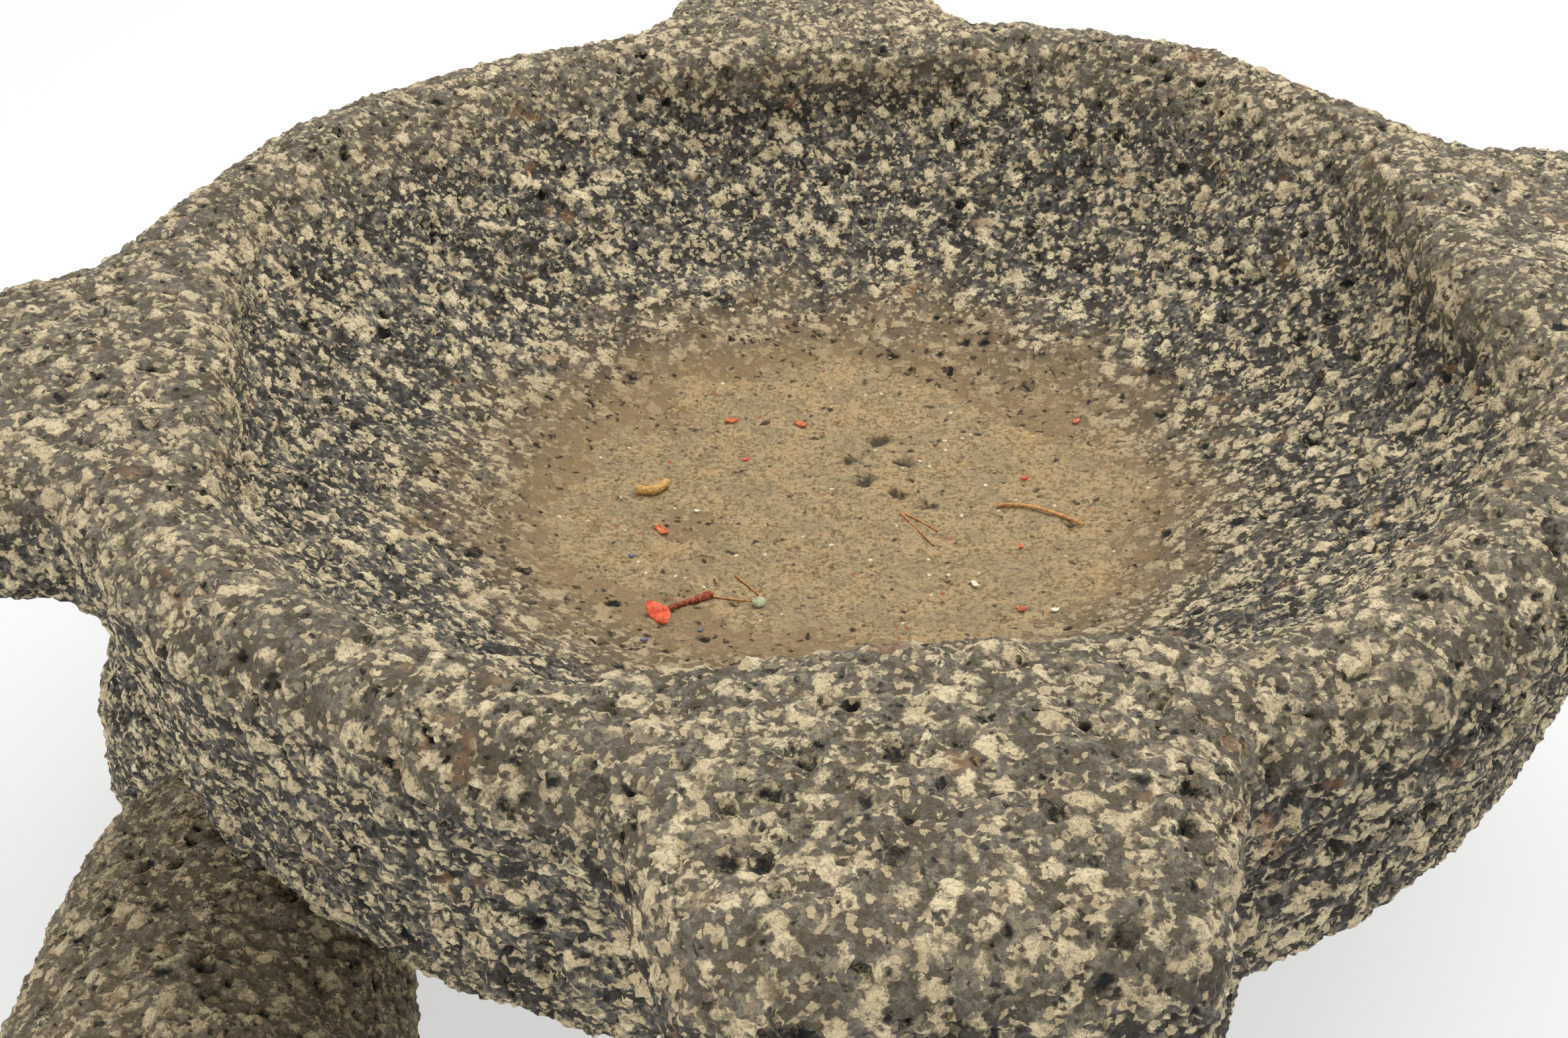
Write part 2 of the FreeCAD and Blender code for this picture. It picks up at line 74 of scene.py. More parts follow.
# %% The camera
CAMERA_BACK = 2.064 * OUTER
CAMERA_UP = 1.015 * OUTER
CAMERA_LEFT = math.radians(1.89)
CAMERA_DOWN = math.radians(8.6)
CAMERA_ROLL = math.radians(0.9)
SENSOR_WIDTH = 36
LENS = 40.1

camera_data = bpy.data.cameras.new("camera")
camera = bpy.data.objects.new("camera", camera_data)
bpy.context.scene.collection.objects.link(camera)
camera.location = (0, -CAMERA_BACK, RIM_TOP + CAMERA_UP)
aim = Vector((0, CAMERA_BACK, -CAMERA_UP)).to_track_quat("-Z", "Y")
swing = Quaternion((0, 1, 0), CAMERA_LEFT) @ Quaternion((1, 0, 0), -CAMERA_DOWN)
camera.rotation_mode = "QUATERNION"
camera.rotation_quaternion = aim @ swing @ Quaternion((0, 0, 1), -CAMERA_ROLL)
camera_data.sensor_width = SENSOR_WIDTH
camera_data.lens = LENS
camera_data.clip_start = 0.01
bpy.context.scene.camera = camera

# %% [markdown]
# The stone is one block, so it is modelled as one block. The bowl starts as a flat disc, the
# bottom of the hollow, and its edge is extruded again and again: up the flank, over the rim, down
# the wall and in under the belly. Turning a profile would give the same shape, but pushing an edge
# ring from one station to the next lets each radius and height be named.

# %% Modelling helpers


def clear_selection():
    """Leaves edit mode and deselects everything, so that the next operator acts on one thing."""
    if bpy.context.object and bpy.context.object.mode != "OBJECT":
        bpy.ops.object.mode_set(mode="OBJECT")
    bpy.ops.object.select_all(action="DESELECT")


def pick(*objects):
    """Selects these objects and makes the first one active."""
    clear_selection()
    for thing in objects:
        thing.select_set(True)
    bpy.context.view_layer.objects.active = objects[0]
    return objects[0]


def settle(thing, name):
    """Names a new object and puts its place, turn and scale into its mesh."""
    thing.name = name
    thing.data.name = name
    pick(thing)
    bpy.ops.object.transform_apply(location=True, rotation=True, scale=True)
    return thing


def finish_modifier(thing, kind, **settings):
    """Adds one modifier, sets it up and applies it."""
    pick(thing)
    modifier = thing.modifiers.new(kind.lower(), kind)
    for key, value in settings.items():
        setattr(modifier, key, value)
    bpy.ops.object.modifier_apply(modifier=modifier.name)
    return thing


def ring_through(first, stations, name, segments=96):
    """Starts from a disc and carries its edge through (centre x, radius, height) stations."""
    centre, radius, height = first
    clear_selection()
    bpy.ops.mesh.primitive_circle_add(
        vertices=segments, radius=radius, fill_type="NGON", location=(centre, 0, height)
    )
    thing = settle(bpy.context.object, name)
    bpy.ops.object.mode_set(mode="EDIT")
    bpy.ops.mesh.select_mode(type="EDGE")
    bpy.ops.mesh.select_all(action="SELECT")
    for next_centre, next_radius, next_height in stations:
        bpy.ops.mesh.extrude_edges_move()
        grow = next_radius / radius
        bpy.ops.transform.resize(value=(grow, grow, 1), center_override=(centre, 0, height))
        shift = (next_centre - centre, 0, next_height - height)
        bpy.ops.transform.translate(value=shift)
        centre, radius, height = next_centre, next_radius, next_height
    bpy.ops.mesh.edge_face_add()
    bpy.ops.mesh.select_all(action="SELECT")
    bpy.ops.mesh.normals_make_consistent(inside=False)
    bpy.ops.object.mode_set(mode="OBJECT")
    return thing


# %% The bowl's stations


def bowl_stations():
    """Radius and height of each ring, from the bottom of the hollow round to the underside."""
    rim_radius = OUTER - RIM_ROUND
    rim_height = RIM_TOP - RIM_ROUND
    run = rim_radius - FLAT_RADIUS
    rise = rim_height - FLOOR_OF_BOWL
    flank = (run**2 + rise**2 - RIM_ROUND**2) / (2 * (rise + RIM_ROUND))
    lean_in = math.atan2(run, flank - rise)
    places = []
    for step in range(1, 13):
        turn = lean_in * step / 12
        radius = FLAT_RADIUS + flank * math.sin(turn)
        places.append((radius, FLOOR_OF_BOWL + flank * (1 - math.cos(turn))))
    for step in range(1, 9):
        turn = (math.pi / 2 + lean_in) * (1 - step / 8)
        radius = rim_radius + RIM_ROUND * math.cos(turn)
        places.append((radius, rim_height + RIM_ROUND * math.sin(turn)))
    edge_radius = OUTER - WALL_LEAN
    for share in (0.35, 0.7):
        places.append((OUTER - WALL_LEAN * share, rim_height + (EDGE_HEIGHT - rim_height) * share))
    places.append((edge_radius, EDGE_HEIGHT))
    for share in (0.85, 0.7, 0.5, 0.3):
        places.append((edge_radius * share, UNDERSIDE + (EDGE_HEIGHT - UNDERSIDE) * share**2))
    return [(0, radius, height) for radius, height in places]


block = ring_through((0, FLAT_RADIUS, FLOOR_OF_BOWL), bowl_stations(), "block")
print("bowl blank", len(block.data.vertices), "vertices")

# %% The lugs
LUG_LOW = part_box("lug_right")[0].z
LUG_TIP = OUTER + 22 * MM
LUG_ROOT = OUTER - 26 * MM
LUG_ROOT_WIDTH = 76 * MM
LUG_TIP_WIDTH = 50 * MM
LUG_TURNS = {"lug_right": 5, "lug_far": 93, "lug_left": 194, "lug_near": 274}


def select_faces(thing, wanted):
    """In edit mode, selects the faces whose centre and normal pass a test."""
    bpy.ops.object.mode_set(mode="OBJECT")
    for face in thing.data.polygons:
        face.select = wanted(face.center, face.normal)
    bpy.ops.object.mode_set(mode="EDIT")
    bpy.ops.mesh.select_mode(type="FACE")


def carve_lug():
    """A block that narrows to its tip, with its end and edges rounded off."""
    clear_selection()
    middle = ((LUG_TIP + LUG_ROOT) / 2, 0, (LUG_LOW + RIM_TOP) / 2)
    bpy.ops.mesh.primitive_cube_add(size=1, location=middle)
    lug = bpy.context.object
    lug.scale = (LUG_TIP - LUG_ROOT, LUG_ROOT_WIDTH, RIM_TOP - LUG_LOW)
    settle(lug, "lug")
    bpy.ops.object.mode_set(mode="EDIT")
    bpy.ops.mesh.select_all(action="DESELECT")
    select_faces(lug, lambda centre, normal: normal.x > 0.5)
    narrow = LUG_TIP_WIDTH / LUG_ROOT_WIDTH
    tip = (LUG_TIP, 0, middle[2])
    bpy.ops.transform.resize(value=(1, narrow, 0.94), center_override=tip)
    bpy.ops.object.mode_set(mode="OBJECT")
    finish_modifier(lug, "BEVEL", width=6 * MM, segments=4, limit_method="ANGLE")
    return lug


lugs = []
pattern_lug = carve_lug()
for name, angle in LUG_TURNS.items():
    pick(pattern_lug)
    bpy.ops.object.duplicate()
    lug = bpy.context.object
    lug.rotation_euler.z = math.radians(angle)
    lugs.append(settle(lug, name + "_blank"))
bpy.data.objects.remove(pattern_lug)

# %% The legs
FOOT_ROUND = 5 * MM
LEG_TOP = 60 * MM
LEG_STATIONS = {
    "leg_left": (183, 87, 103, 106),
    "leg_right": (290, 78, 80, 75),
    "leg_far": (62, 80, 85, 86),
}


def carve_leg(name):
    """A leg from its sole up into the bowl, turned to its place round the bowl."""
    angle, root, knee, foot = LEG_STATIONS[name]
    stations = [
        (foot * MM, 24 * MM, FOOT_ROUND),
        ((foot + knee) / 2 * MM, 24.6 * MM, 15 * MM),
        (knee * MM, 25 * MM, 26 * MM),
        (root * MM, 27 * MM, LEG_TOP),
    ]
    leg = ring_through((foot * MM, 19 * MM, 0), stations, name + "_blank", segments=48)
    leg.rotation_euler.z = math.radians(angle)
    return settle(leg, name + "_blank")


legs = [carve_leg(name) for name in LEG_STATIONS]
pick(block, *lugs, *legs)
bpy.ops.object.join()
BLOCK_GRAIN = 2.6 * MM
finish_modifier(block, "REMESH", mode="VOXEL", voxel_size=BLOCK_GRAIN)
finish_modifier(block, "SMOOTH", factor=0.5, iterations=8)
FINENESS = 2
finish_modifier(block, "SUBSURF", levels=FINENESS, render_levels=FINENESS)
print("block", len(block.data.polygons), "faces", round(time.time() - started, 1), "s")

# %% [markdown]
# The stone is a basalt full of cream crystals and gas pits. The same rule that paints them also
# has to lift and sink the surface, so the rule is written once, as Python that lays nodes on a
# board, and it is laid twice: in a geometry tree that moves the mesh and in a shader tree that
# colours it. Both read the point in the object's own coordinates, so a painted pit lies in a real
# one.

# %% A board for nodes


class Board:
    """Lays nodes on one node tree and wires them, so that a pattern reads as a few lines."""

    def __init__(self, tree):
        self.tree = tree

    def add(self, kind, **settings):
        node = self.tree.nodes.new(kind)
        for key, value in settings.items():
            setattr(node, key, value)
        return node

    def feed(self, socket, value):
        """Wires an output into a socket, or sets the socket to a plain value."""
        if isinstance(value, bpy.types.NodeSocket):
            self.tree.links.new(value, socket)
        else:
            socket.default_value = value

    def math(self, operation, first, second=0.0):
        node = self.add("ShaderNodeMath", operation=operation)
        self.feed(node.inputs[0], first)
        self.feed(node.inputs[1], second)
        return node.outputs[0]

    def total(self, *parts):
        """Adds up (value, weight) pairs."""
        result = 0.0
        for value, weight in parts:
            result = self.math("ADD", result, self.math("MULTIPLY", value, weight))
        return result

    def vector(self, operation, first, second=(0, 0, 0)):
        node = self.add("ShaderNodeVectorMath", operation=operation)
        self.feed(node.inputs[0], first)
        self.feed(node.inputs["Scale"] if operation == "SCALE" else node.inputs[1], second)
        return node.outputs["Value" if operation in ("LENGTH", "DISTANCE") else "Vector"]

    def turn(self, point, degrees):
        node = self.add("ShaderNodeVectorRotate", rotation_type="EULER_XYZ")
        self.feed(node.inputs["Vector"], point)
        self.feed(node.inputs["Rotation"], [math.radians(angle) for angle in degrees])
        return node.outputs["Vector"]

    def smooth(self, value, low, high, start=0.0, end=1.0):
        """Goes from start to end while the value goes from low to high, with soft ends."""
        node = self.add("ShaderNodeMapRange", interpolation_type="SMOOTHSTEP")
        labels = ("Value", "From Min", "From Max", "To Min", "To Max")
        for label, number in zip(labels, (value, low, high, start, end)):
            self.feed(node.inputs[label], number)
        return node.outputs["Result"]

    def tint(self, share, first, second):
        node = self.add("ShaderNodeMix", data_type="RGBA")
        self.feed(node.inputs["Factor"], share)
        self.feed(node.inputs[6], first)
        self.feed(node.inputs[7], second)
        return node.outputs[2]

    def noise(self, point, grain, detail=2.0, roughness=0.5, output=0):
        node = self.add("ShaderNodeTexNoise")
        self.feed(node.inputs["Vector"], point)
        self.feed(node.inputs["Scale"], 1 / grain)
        self.feed(node.inputs["Detail"], detail)
        self.feed(node.inputs["Roughness"], roughness)
        return node.outputs[output]

    def cells(self, point, distance="EUCLIDEAN"):
        """Distance to the nearest cell's heart, and that cell's three lots between 0 and 1."""
        node = self.add("ShaderNodeTexVoronoi", distance=distance)
        self.feed(node.inputs["Vector"], point)
        self.feed(node.inputs["Scale"], 1.0)
        split = self.add("ShaderNodeSeparateXYZ")
        self.feed(split.inputs[0], node.outputs["Color"])
        return node.outputs["Distance"], split.outputs

    def where(self, point):
        """Distance from the axis of the bowl, and height."""
        split = self.add("ShaderNodeSeparateXYZ")
        self.feed(split.inputs[0], point)
        flat = self.vector("MULTIPLY", point, (1, 1, 0))
        return self.vector("LENGTH", flat), split.outputs[2]


# %% The rule for crystals and pits
# size of a cell, how many times longer than wide, its turn, share of the cells that hold one
CRYSTALS = (
    (3.6 * MM, 1.1, (20, 35, 50), 0.72),
    (2.7 * MM, 1.7, (70, 10, 120), 0.38),
    (2.6 * MM, 1.9, (15, 80, 40), 0.34),
    (1.4 * MM, 1.3, (50, 60, 10), 0.42),
)


def ragged(board, point, grain, amount):
    """Shifts the point by a little noise, so that straight borders turn ragged."""
    shift = board.vector("SUBTRACT", board.noise(point, grain, detail=2, output=1), (0.5, 0.5, 0.5))
    return board.vector("ADD", point, board.vector("SCALE", shift, amount))


def find_crystals(board, point):
    """How much of a cream crystal is at the point, and a lot between 0 and 1 for its shade."""
    torn = ragged(board, ragged(board, point, 0.6 * MM, 1.0 * MM), 1.8 * MM, 0.9 * MM)
    crowd = board.smooth(board.noise(point, 13 * MM, detail=1), 0.3, 0.7, -0.12, 0.12)
    crystal, shade = 0.0, 0.5
    for grain, length, turn, share in CRYSTALS:
        squeezed = board.vector(
            "MULTIPLY", board.turn(torn, turn), (1 / grain, 1 / grain, 1 / (grain * length))
        )
        distance, lots = board.cells(squeezed, "CHEBYCHEV")
        reach = board.smooth(lots[1], 0, 1, 0.24, 0.40)
        body = board.smooth(distance, reach, board.math("SUBTRACT", reach, 0.11))
        chosen = board.math("LESS_THAN", lots[0], board.math("ADD", crowd, share))
        here = board.math("MULTIPLY", body, chosen)
        crystal = board.math("MAXIMUM", crystal, here)
        shade = board.total((lots[2], here), (shade, board.math("SUBTRACT", 1.0, here)))
    return crystal, shade


# size of a cell, share of the cells that hold a pit, its widest radius as a part of the cell
PITS = {"wide": (4.4 * MM, 0.55, 0.38), "fine": (1.7 * MM, 0.6, 0.42)}


def find_pits(board, point, kind):
    """How deep a gas pit is at the point, from 0 at its brim to 1."""
    grain, share, widest = PITS[kind]
    torn = ragged(board, ragged(board, point, 0.8 * MM, 0.9 * MM), 2.2 * MM, 3.4 * MM)
    distance, lots = board.cells(board.vector("SCALE", torn, 1 / grain))
    reach = board.smooth(lots[1], 0, 1, 0.4 * widest, widest)
    hollow = board.smooth(distance, reach, board.math("MULTIPLY", reach, 0.35))
    return board.math("MULTIPLY", hollow, board.math("LESS_THAN", lots[0], share))


def find_grit(board, point):
    """A lot between 0 and 1 for each ragged grain of the groundmass."""
    torn = ragged(board, point, 0.5 * MM, 0.5 * MM)
    distance, lots = board.cells(board.vector("SCALE", torn, 1 / (0.75 * MM)))
    return lots[0]


def find_pecks(board, point):
    """The marks of the mason's point, as a height about zero."""
    return board.math("SUBTRACT", board.noise(point, 2.4 * MM, detail=3, roughness=0.62), 0.5)


# %% [markdown]
# The mason finishes a mortar by pecking it, blow by blow, so no face is flat. The relief has five
# parts: the slow unevenness of hand work, lumps of a few millimetres, the marks of the point, the
# pits, and the crystals that stand a little proud. The grinding stone has worn the bottom of the
# bowl, so the relief is weaker there. The soles stay flat, since they carry the weight.

# %% The relief


def surface_of(tree):
    """Adds a geometry input and output to a tree of geometry nodes."""
    tree.interface.new_socket("Geometry", in_out="INPUT", socket_type="NodeSocketGeometry")
    tree.interface.new_socket("Geometry", in_out="OUTPUT", socket_type="NodeSocketGeometry")
    return tree.nodes.new("NodeGroupInput"), tree.nodes.new("NodeGroupOutput")


def move_surface(thing, name, shift_of):
    """Moves every point of a mesh by the shift that shift_of lays out on the board."""
    tree = bpy.data.node_groups.new(name, "GeometryNodeTree")
    entry, leave = surface_of(tree)
    board = Board(tree)
    place = board.add("GeometryNodeSetPosition")
    point = board.add("GeometryNodeInputPosition").outputs[0]
    normal = board.add("GeometryNodeInputNormal").outputs[0]
    moved = board.vector("ADD", point, shift_of(board, point, normal))
    above_table = board.vector("MAXIMUM", moved, (-1.0, -1.0, 0.0))
    tree.links.new(entry.outputs[0], place.inputs["Geometry"])
    tree.links.new(above_table, place.inputs["Position"])
    tree.links.new(place.outputs[0], leave.inputs[0])
    pick(thing)
    modifier = thing.modifiers.new(name, "NODES")
    modifier.node_group = tree
    bpy.ops.object.modifier_apply(modifier=modifier.name)


def stone_shift(board, point, normal):
    """The relief of pecked basalt, along the normal."""
    radius, height = board.where(point)
    in_bowl = board.smooth(radius, 84 * MM, 56 * MM)
    in_bowl = board.math("MULTIPLY", in_bowl, board.smooth(height, 48 * MM, 52 * MM))
    rough = board.math("SUBTRACT", 1.0, board.math("MULTIPLY", in_bowl, 0.6))
    crystal, shade = find_crystals(board, point)
    hand = board.math("SUBTRACT", board.noise(point, 34 * MM, detail=1), 0.5)
    lumps = board.math("SUBTRACT", board.noise(point, 9 * MM, detail=2, roughness=0.6), 0.5)
    depth = board.total(
        (lumps, 3.2 * MM),
        (find_pecks(board, point), 3.0 * MM),
        (find_pits(board, point, "wide"), -1.8 * MM),
        (find_pits(board, point, "fine"), -0.6 * MM),
        (crystal, 0.25 * MM),
    )
    depth = board.total((depth, rough), (hand, 5.0 * MM))
    return board.vector("SCALE", normal, depth)


move_surface(block, "pecked_stone", stone_shift)
print("relief on", len(block.data.vertices), "points", round(time.time() - started, 1), "s")

# %% [markdown]
# One mesh of the whole mortar would be too heavy to handle, so it is cut into the parts a mason
# would name, and the flank of the bowl once more into a near and a far half. Each cut is a boolean
# with a plain zone, first kept and then taken away, so the parts fit together without a gap and
# each is a closed solid.

# %% Cutting the block into named parts


def zone_box(low, high, turn=0):
    clear_selection()
    low, high = Vector(low), Vector(high)
    bpy.ops.mesh.primitive_cube_add(size=1, location=(low + high) / 2)
    box = bpy.context.object
    box.scale = high - low
    settle(box, "zone")
    box.rotation_euler.z = math.radians(turn)
    return settle(box, "zone")


def zone_drum(radius, low, high, middle=(0, 0)):
    clear_selection()
    place = (middle[0], middle[1], (low + high) / 2)
    bpy.ops.mesh.primitive_cylinder_add(vertices=64, radius=radius, depth=high - low, location=place)
    return settle(bpy.context.object, "zone")


def take_out(stone, zone, name):
    """Copies the part of the stone that lies in the zone, and takes it away from the stone."""
    pick(stone)
    bpy.ops.object.duplicate()
    part = bpy.context.object
    part.name = name
    part.data.name = name
    finish_modifier(part, "BOOLEAN", operation="INTERSECT", solver="MANIFOLD", object=zone)
    finish_modifier(stone, "BOOLEAN", operation="DIFFERENCE", solver="MANIFOLD", object=zone)
    bpy.data.objects.remove(zone)
    return part


FAR = 0.2
LEG_ZONE_RADIUS = 40 * MM
LUG_ZONE_HALF_WIDTH = 44 * MM
BOWL_FLOOR_RADIUS = 60 * MM
BOWL_FLANK_RADIUS = 98 * MM
LEG_CUT = 45 * MM
BELLY_CUT = 51 * MM
SHOULDER = 88 * MM
LUG_CUT = OUTER - 3 * MM


def cut_block():
    """Returns the parts by name, with the frame's node that each stands for."""
    parts = []
    below = take_out(block, zone_box((-FAR, -FAR, -FAR), (FAR, FAR, BELLY_CUT)), "below")
    for name, (angle, root, knee, foot) in LEG_STATIONS.items():
        turn = math.radians(angle)
        out = (root + foot) / 2 * MM
        middle = (out * math.cos(turn), out * math.sin(turn))
        zone = zone_drum(LEG_ZONE_RADIUS, -FAR, LEG_CUT, middle)
        parts.append((take_out(below, zone, name + "_stone"), name))
    below.name = "belly"
    parts.append((below, "basin"))
    for name, angle in LUG_TURNS.items():
        low = (LUG_CUT, -LUG_ZONE_HALF_WIDTH, 0)
        zone = zone_box(low, (FAR, LUG_ZONE_HALF_WIDTH, FAR), angle)
        parts.append((take_out(block, zone, name + "_stone"), name))
    floor_zone = zone_drum(BOWL_FLOOR_RADIUS, 0, FAR)
    parts.append((take_out(block, floor_zone, "bowl_floor"), "basin"))
    flank = take_out(block, zone_drum(BOWL_FLANK_RADIUS, 0, FAR), "bowl_flank_far")
    near_half = zone_box((-FAR, -FAR, -FAR), (FAR, 0, FAR))
    parts.append((take_out(flank, near_half, "bowl_flank_near"), "basin"))
    parts.append((flank, "basin"))
    rim_zone = zone_box((-FAR, -FAR, SHOULDER), (FAR, FAR, FAR))
    parts.append((take_out(block, rim_zone, "rim"), "basin"))
    block.name = "wall"
    parts.append((block, "basin"))
    return parts


mortar_parts = cut_block()
for part, node in mortar_parts:
    pick(part)
    bpy.ops.object.shade_smooth_by_angle(angle=STONE_EDGE)
    print(part.name, "for", node, len(part.data.polygons), "faces")
print("cut at", round(time.time() - started, 1), "s")

# %% [markdown]
# The tejolote is turned the same way, ring by ring, along the line between the two balls that end
# it. It is modelled standing and then laid on its side, so that both balls touch the table.

# %% The tejolote
rod_low, rod_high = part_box("tejolote")
GRIND_RADIUS = rod_high.z / 2
HAND_RADIUS = 23.5 * MM
grind_heart = Vector((rod_high.x - GRIND_RADIUS, rod_low.y + GRIND_RADIUS, GRIND_RADIUS))
hand_heart = Vector((rod_low.x + HAND_RADIUS, rod_high.y - HAND_RADIUS, HAND_RADIUS))


def rod_stations(reach):
    """Rings up the hand ball, along the taper and over the grinding ball."""
    tilt = math.asin((GRIND_RADIUS - HAND_RADIUS) / reach)
    places = []
    for step in range(1, 8):
        turn = -math.pi / 2 + (math.pi / 2 - tilt) * step / 7
        places.append((0, HAND_RADIUS * math.cos(turn), HAND_RADIUS * math.sin(turn)))
    for step in range(8):
        turn = -tilt + (math.pi / 2 + tilt) * step / 8
        places.append((0, GRIND_RADIUS * math.cos(turn), reach + GRIND_RADIUS * math.sin(turn)))
    return places


reach = (grind_heart - hand_heart).length
tejolote = ring_through((0, 3 * MM, -HAND_RADIUS), rod_stations(reach), "tejolote_stone", 64)
tejolote.rotation_mode = "QUATERNION"
tejolote.rotation_quaternion = (grind_heart - hand_heart).to_track_quat("Z", "X")
tejolote.location = hand_heart
settle(tejolote, "tejolote_stone")
finish_modifier(tejolote, "REMESH", mode="VOXEL", voxel_size=2.2 * MM)
finish_modifier(tejolote, "SUBSURF", levels=FINENESS, render_levels=FINENESS)
move_surface(tejolote, "pecked_rod", stone_shift)
bpy.ops.object.shade_smooth_by_angle(angle=STONE_EDGE)
print("tejolote", len(tejolote.data.polygons), "faces")

# %% [markdown]
# Years of grinding leave a cake of chilli and spice on the bottom of the bowl. It fills the pits
# first, and it is thickest in the middle, a little towards the front. So it is a closed sheet that
# follows the bowl, and its upper face sinks below the stone towards a ragged border, where only
# the pits stay filled.

# %% The caked paste
paste_low, paste_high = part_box("residue")
PASTE_REACH = (paste_high.x - paste_low.x) / 2
PASTE_DEEP = 2.5 * MM
PASTE_MIDDLE = (-1 * MM, -3 * MM, 0)


def bowl_height(radius):
    """Height of the carved bowl at a distance from its axis."""
    if radius <= FLAT_RADIUS:
        return FLOOR_OF_BOWL
    run = OUTER - RIM_ROUND - FLAT_RADIUS
    rise = RIM_TOP - RIM_ROUND - FLOOR_OF_BOWL
    flank = (run**2 + rise**2 - RIM_ROUND**2) / (2 * (rise + RIM_ROUND))
    return FLOOR_OF_BOWL + flank - math.sqrt(flank**2 - (radius - FLAT_RADIUS) ** 2)


def paste_stations():
    places = []
    for step in range(1, 9):
        radius = FLAT_RADIUS + (PASTE_REACH - FLAT_RADIUS) * step / 8
        places.append((0, radius, bowl_height(radius)))
    for step in range(8, -1, -1):
        radius = FLAT_RADIUS + (PASTE_REACH - FLAT_RADIUS) * step / 8
        places.append((0, radius, bowl_height(radius) - PASTE_DEEP))
    return places


# where the dried cake has opened over a deep pit: x, y and half width
CRACKS = (
    (4, 6, 2.4),
    (9.5, 1, 1.8),
    (6.5, 18, 2.8),
    (11, 11, 2.2),
    (14, -3, 1.6),
    (-21, -16, 1.4),
    (1, 12, 1.6),
)


def find_cracks(board, point):
    """How far a crack of the cake is open at the point."""
    torn = ragged(board, ragged(board, point, 1.6 * MM, 2.2 * MM), 5 * MM, 5 * MM)
    level = board.vector("MULTIPLY", torn, (1, 1, 0))
    crack = 0.0
    for x, y, half_width in CRACKS:
        away = board.vector("DISTANCE", level, (x * MM, y * MM, 0))
        here = board.smooth(away, half_width * MM, 0.3 * half_width * MM)
        crack = board.math("MAXIMUM", crack, here)
    return crack


def paste_shift(board, point, normal):
    """Lifts the middle of the cake above the stone and sinks its border below it."""
    off_middle = board.vector("SUBTRACT", point, PASTE_MIDDLE)
    radius, height = board.where(off_middle)
    wander = board.math("SUBTRACT", board.noise(point, 16 * MM, detail=3, roughness=0.6), 0.5)
    border = board.total((radius, 1.0), (wander, 26 * MM))
    cake = board.smooth(border, 58 * MM, 30 * MM, -1.1 * MM, 0.75 * MM)
    lumps = board.math("SUBTRACT", board.noise(point, 4.5 * MM, detail=3, roughness=0.6), 0.5)
    pores = board.smooth(board.noise(point, 2.2 * MM, detail=2), 0.62, 0.72)
    up = board.add("ShaderNodeCombineXYZ")
    cracks = find_cracks(board, point)
    lift = board.total((cake, 1.0), (lumps, 1.4 * MM), (pores, -0.5 * MM), (cracks, -1.0 * MM))
    board.feed(up.inputs[2], lift)
    return up.outputs[0]


paste = ring_through((0, FLAT_RADIUS, FLOOR_OF_BOWL), paste_stations(), "caked_paste", 96)
finish_modifier(paste, "REMESH", mode="VOXEL", voxel_size=1.1 * MM)
finish_modifier(paste, "SUBSURF", levels=1, render_levels=1)
move_surface(paste, "caking", paste_shift)
bpy.ops.object.shade_smooth_by_angle(angle=STONE_EDGE)
print("paste", len(paste.data.polygons), "faces")

# %% [markdown]
# What the last grinding left behind lies on the cake: a flake of red chilli skin, the stem it came
# from, a woolly curl of husk, a straw, some hairs, a seed and a few crumbs. They are tiny, but the
# eye finds them at once, so each is shaped: flakes from a grid that is narrowed column by column
# and then given thickness, strands from a path with a round section.

# %% Tools for the scraps
floor_parts = [part for part, node in mortar_parts if node == "basin"]


def ground_under(x, y):
    """Height of whatever lies uppermost in the bowl at a place."""
    heights = []
    for ground in (paste, *floor_parts):
        hit, place, normal, face = ground.ray_cast(Vector((x, y, 2 * RIM_TOP)), Vector((0, 0, -1)))
        if hit:
            heights.append(place.z)
    return max(heights)


def middle_of(node):
    low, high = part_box(node)
    return (low.x + high.x) / 2, (low.y + high.y) / 2


def wrinkle(grain, amount):
    """A shift along the normal by noise of this grain."""

    def shift(board, point, normal):
        height = board.math("SUBTRACT", board.noise(point, grain, detail=2, roughness=0.6), 0.5)
        return board.vector("SCALE", normal, board.math("MULTIPLY", height, amount))

    return shift


def lay_strand(name, places, thickness, thin_end=0.5, lift=0.0):
    """A round strand through five places of the bowl, with its own thickness at each."""
    clear_selection()
    bpy.ops.curve.primitive_nurbs_path_add()
    strand = bpy.context.object
    spline = strand.data.splines[0]
    for number, (point, (x, y)) in enumerate(zip(spline.points, places)):
        point.co = (x, y, ground_under(x, y) + thickness + lift, 1)
        point.radius = 1 + (thin_end - 1) * number / 4
    strand.data.bevel_depth = thickness
    strand.data.bevel_resolution = 3
    strand.data.use_fill_caps = True
    bpy.ops.object.convert(target="MESH")
    return settle(bpy.context.object, name)


def through(*places):
    """Five evenly spaced places on the line through two or three given ones, in millimetres."""
    spots = [Vector(place) * MM for place in places]
    if len(spots) == 2:
        spots.insert(1, (spots[0] + spots[1]) / 2)
    start, bend, end = spots
    return [start, (start + bend) / 2, bend, (bend + end) / 2, end]


